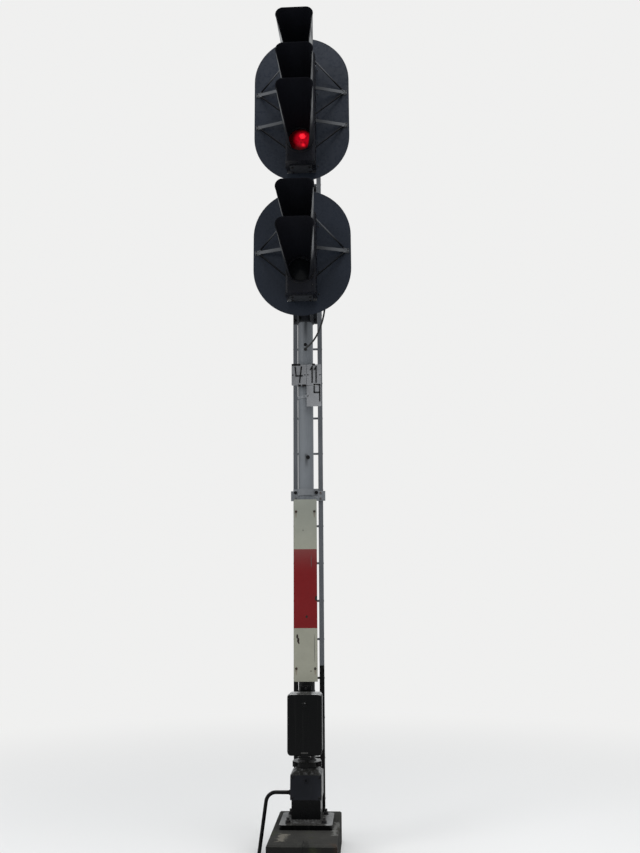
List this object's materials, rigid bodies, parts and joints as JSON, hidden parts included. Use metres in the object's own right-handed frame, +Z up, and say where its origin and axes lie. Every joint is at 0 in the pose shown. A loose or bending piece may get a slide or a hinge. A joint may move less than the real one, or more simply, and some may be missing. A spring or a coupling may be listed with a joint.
{
  "type": "railway colour-light signal mast",
  "caption": "Tube mast on a concrete plinth with two colour-light heads, hoods, round-ended backboards, ladder, striped board and a cable box with a hinged cover.",
  "frame": {"origin": "centre of the mast's axis at ground level, on the plinth's underside", "axes": "+Z up along the mast, -Y the side that the lamps face, +Y the ladder side"},
  "size_m": [0.88, 1.655, 7.3228],
  "materials": {
    "concrete": "rough, weathered",
    "galvanised": "dull galvanised",
    "black_iron": "painted black, semi gloss",
    "mast_grey": "satin grey paint, black at the foot",
    "board_white": "chalky paint, white, red and white bands",
    "bracket_steel": "satin grey paint",
    "ladder_grey": "satin dark grey paint",
    "plate_grey": "matte light grey paint",
    "conduit_black": "gloss black paint",
    "head_black": "semi gloss black paint",
    "backboard_black": "gloss blue black paint",
    "hood_black": "satin black paint, matte inside",
    "lens_red": "lit red glass",
    "lens_dark": "dark unlit glass",
    "cable_rubber": "matte black",
    "gland_metal": "black"
  },
  "bodies": {
    "mast": {"plinth": "concrete", "anchor_bolts": "galvanised", "base_casting": "black_iron", "base_cover": "black_iron", "socket_clamp": "black_iron", "cable_box": "black_iron", "box_bracket": "black_iron", "mast_tube": "mast_grey", "mast_cap": "mast_grey", "striped_board": "board_white", "board_brackets": "bracket_steel", "ladder_clamps": "bracket_steel", "plate_straps": "bracket_steel", "ladder_stile_left": "ladder_grey", "ladder_stile_right": "ladder_grey", "ladder_rungs": "ladder_grey", "number_plate_left": "plate_grey", "number_plate_right": "plate_grey", "number_plate_lower": "plate_grey", "conduit_pipe": "conduit_black", "upper_housing": "head_black", "upper_rear_doors": "head_black", "upper_brackets": "head_black", "lower_housing": "head_black", "lower_rear_doors": "head_black", "lower_brackets": "head_black", "upper_stays": "head_black", "lower_stays": "head_black", "upper_backboard": "backboard_black", "lower_backboard": "backboard_black", "upper_hood_bottom": "hood_black", "upper_hood_middle": "hood_black", "upper_hood_top": "hood_black", "lower_hood_bottom": "hood_black", "lower_hood_top": "hood_black", "upper_lens_bottom": "lens_red", "upper_lens_middle": "lens_dark", "upper_lens_top": "lens_dark", "lower_lens_bottom": "lens_dark", "lower_lens_top": "lens_dark", "head_cable": "cable_rubber", "cable_gland": "gland_metal"},
    "cover": {"box_cover": "black_iron", "box_lock": "black_iron"}
  },
  "joints": [
    {"name": "box_cover_hinge", "type": "hinge", "parent": "mast", "child": "cover", "pos_m": [0, -0.304, 0.835], "axis": [1, 0, 0], "range_deg": [0, 160]}
  ]
}
